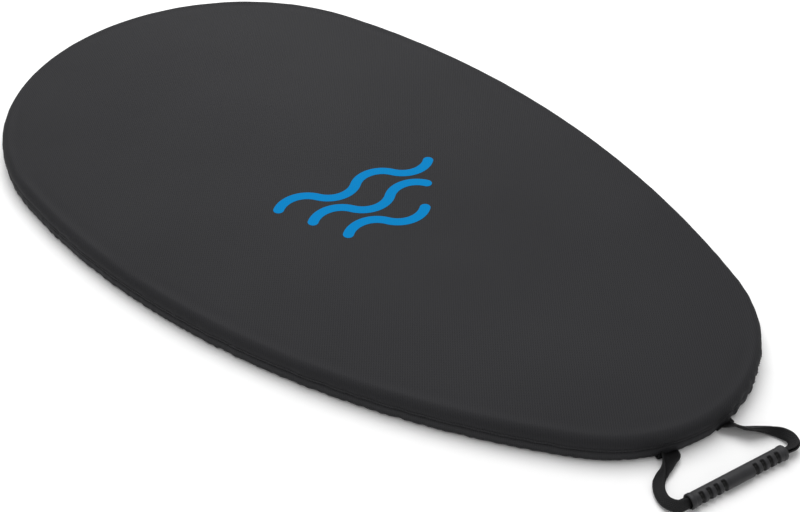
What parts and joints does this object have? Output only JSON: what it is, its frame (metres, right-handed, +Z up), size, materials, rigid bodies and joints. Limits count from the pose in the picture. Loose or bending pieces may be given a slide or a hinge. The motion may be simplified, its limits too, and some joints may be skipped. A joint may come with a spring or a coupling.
{
  "type": "kayak cockpit cover",
  "caption": "Taut egg-shaped cloth cover for a kayak cockpit, with a sewn side band, an elastic hem and a webbing grab handle with a ribbed grip.",
  "frame": {"origin": "middle of the deck's flat underside, which lies on the top of the cockpit rim", "axes": "+X towards the bow, where the handle is, +Y to the left, +Z up"},
  "size_m": [0.9583, 0.5212, 0.0265],
  "materials": {
    "deck_cloth": "ribbed coated nylon, matt",
    "band_cloth": "plain coated nylon, matt",
    "hem_cloth": "ribbed coated nylon, gathered",
    "tape_cloth": "woven tape",
    "thread": "twisted polyester thread",
    "cord_sheath": "braided polyester",
    "cord_rubber": "natural rubber strands",
    "crimp_metal": "zinc plated",
    "webbing": "woven polypropylene webbing",
    "patch_cloth": "plain coated nylon",
    "grip_rubber": "moulded, satin",
    "print_film": "matt transfer film",
    "label_cloth": "white satin ribbon, blank"
  },
  "bodies": {
    "cover": {"deck_panel": "deck_cloth", "side_band": "band_cloth", "hem_casing": "hem_cloth", "seam_tape": "tape_cloth", "deck_seam_thread": "thread", "hem_seam_thread": "thread", "shock_cord_core": "cord_rubber", "shock_cord_sheath": "cord_sheath", "cord_crimp": "crimp_metal", "webbing_tail_left": "webbing", "webbing_tail_right": "webbing", "patch_left": "patch_cloth", "patch_right": "patch_cloth", "bar_tack_left": "thread", "bar_tack_right": "thread", "print_mark": "print_film", "care_label": "label_cloth"},
    "handle": {"webbing_loop": "webbing"},
    "grip": {"grip_tube": "grip_rubber"}
  },
  "joints": [
    {"name": "handle_swing", "type": "hinge", "parent": "cover", "child": "handle", "pos_m": [0.44175, -0.05001, -0.02425], "axis": [-0.3206, -0.9472, 0], "range_deg": [0, 90]},
    {"name": "grip_turn", "type": "hinge", "parent": "handle", "child": "grip", "pos_m": [0.48495, -0.06463, -0.01825], "axis": [0.3206, 0.9472, 0], "continuous": true}
  ]
}
